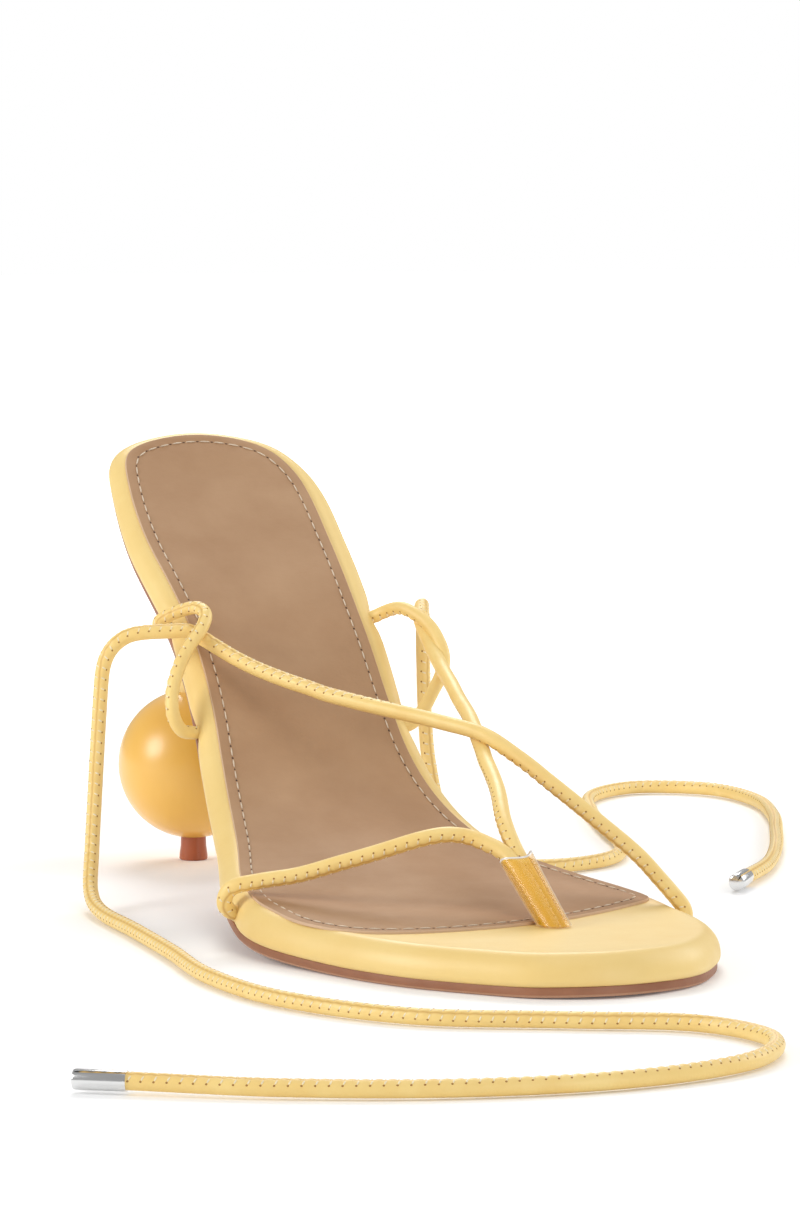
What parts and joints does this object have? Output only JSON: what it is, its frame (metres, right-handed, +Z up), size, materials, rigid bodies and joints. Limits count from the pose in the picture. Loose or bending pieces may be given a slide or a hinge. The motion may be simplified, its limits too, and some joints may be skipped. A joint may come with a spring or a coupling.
{
  "type": "strappy ball-heel sandal",
  "caption": "Right-foot dress sandal with rolled leather straps joined over a wrapped footbed, a clear toe post sleeve, a gloss ball heel and long ankle ties with metal tips.",
  "frame": {"origin": "centre of the shoe's bounding box at floor level, measured without the ankle ties", "axes": "+Z up, the toes point to -Y and the heel to +Y, the medial (big toe) side is +X"},
  "size_m": [0.2753, 0.3669, 0.0942],
  "materials": {
    "yellow_leather": "smooth semi-matt",
    "tan_leather": "smooth satin",
    "brown_sole": "waxed edge",
    "amber_gloss": "gloss lacquer",
    "brown_tip": "satin",
    "clear_plastic": "clear gloss",
    "bright_metal": "polished"
  },
  "bodies": {
    "root": {"outsole": "brown_sole", "footbed": "yellow_leather", "insole_sock": "tan_leather", "upper_straps": "yellow_leather", "toe_post_sleeve": "clear_plastic", "heel_seat_block": "yellow_leather", "heel_ball": "amber_gloss", "heel_tip": "brown_tip", "tie_lateral": "yellow_leather", "tie_medial": "yellow_leather", "tie_tip_lateral": "bright_metal", "tie_tip_medial": "bright_metal"}
  },
  "joints": []
}
